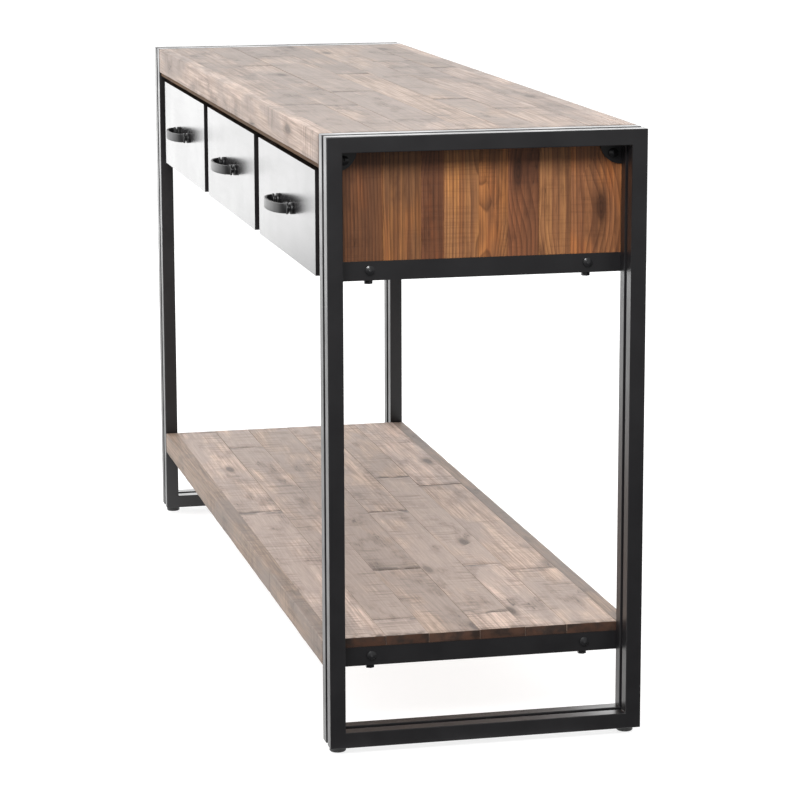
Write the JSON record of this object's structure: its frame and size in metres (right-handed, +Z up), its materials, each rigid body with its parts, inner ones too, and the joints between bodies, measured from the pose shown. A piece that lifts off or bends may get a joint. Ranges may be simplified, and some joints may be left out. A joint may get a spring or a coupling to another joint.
{
  "type": "console table",
  "caption": "Long narrow console table: plank top and low plank shelf between two twin-tube black steel end frames, with a row of drawers under the top.",
  "frame": {"origin": "on the floor, under the middle of the box around the table and its drawer pulls", "axes": "+X along the table's length, -Y the side that the drawers open towards, +Z up"},
  "size_m": [1.4, 0.43, 0.779],
  "materials": {
    "frame_steel": "satin black paint over square-edged steel, rubbed at the edges",
    "bolt_steel": "blackened steel fasteners, slightly shiny",
    "black_front": "satin black painted board that mirrors bright surroundings at a low angle",
    "plank_wood": "dry weathered grey-brown reclaimed planks with saw marks and knots",
    "case_wood": "waxed warm brown reclaimed planks",
    "drawer_wood": "plain pale softwood",
    "glide_plastic": "black moulded plastic"
  },
  "bodies": {
    "table": {"right_front_leg": "frame_steel", "right_back_leg": "frame_steel", "right_top_rail": "frame_steel", "right_bottom_rail": "frame_steel", "left_front_leg": "frame_steel", "left_back_leg": "frame_steel", "left_top_rail": "frame_steel", "left_bottom_rail": "frame_steel", "frame_spacers": "frame_steel", "glides": "glide_plastic", "right_case_rail": "frame_steel", "left_case_rail": "frame_steel", "right_shelf_rail": "frame_steel", "left_shelf_rail": "frame_steel", "corner_plates": "frame_steel", "frame_bolts": "bolt_steel", "rail_lag_bolts": "bolt_steel", "top_board_1": "plank_wood", "top_board_2": "plank_wood", "top_board_3": "plank_wood", "top_board_4": "plank_wood", "top_board_5": "plank_wood", "top_board_6": "plank_wood", "top_board_7": "plank_wood", "top_edge_strips": "plank_wood", "shelf_board_1": "plank_wood", "shelf_board_2": "plank_wood", "shelf_board_3": "plank_wood", "shelf_board_4": "plank_wood", "shelf_board_5": "plank_wood", "shelf_board_6": "plank_wood", "shelf_edge_strips": "plank_wood", "shelf_cleats": "case_wood", "right_end_panel": "case_wood", "left_end_panel": "case_wood", "case_floor": "case_wood", "case_top": "case_wood", "back_panel": "case_wood", "left_divider": "case_wood", "right_divider": "case_wood", "front_stiles": "case_wood", "drawer_guides": "drawer_wood"},
    "left_drawer": {"left_drawer_front": "black_front", "left_drawer_sides": "drawer_wood", "left_drawer_back": "drawer_wood", "left_drawer_bottom": "drawer_wood", "left_pull": "frame_steel", "left_pull_screws": "bolt_steel"},
    "middle_drawer": {"middle_drawer_front": "black_front", "middle_drawer_sides": "drawer_wood", "middle_drawer_back": "drawer_wood", "middle_drawer_bottom": "drawer_wood", "middle_pull": "frame_steel", "middle_pull_screws": "bolt_steel"},
    "right_drawer": {"right_drawer_front": "black_front", "right_drawer_sides": "drawer_wood", "right_drawer_back": "drawer_wood", "right_drawer_bottom": "drawer_wood", "right_pull": "frame_steel", "right_pull_screws": "bolt_steel"}
  },
  "joints": [
    {"name": "left_drawer_slide", "type": "slide", "parent": "table", "child": "left_drawer", "axis": [0, -1, 0], "range_m": [0, 0.28]},
    {"name": "middle_drawer_slide", "type": "slide", "parent": "table", "child": "middle_drawer", "axis": [0, -1, 0], "range_m": [0, 0.28]},
    {"name": "right_drawer_slide", "type": "slide", "parent": "table", "child": "right_drawer", "axis": [0, -1, 0], "range_m": [0, 0.28]}
  ]
}
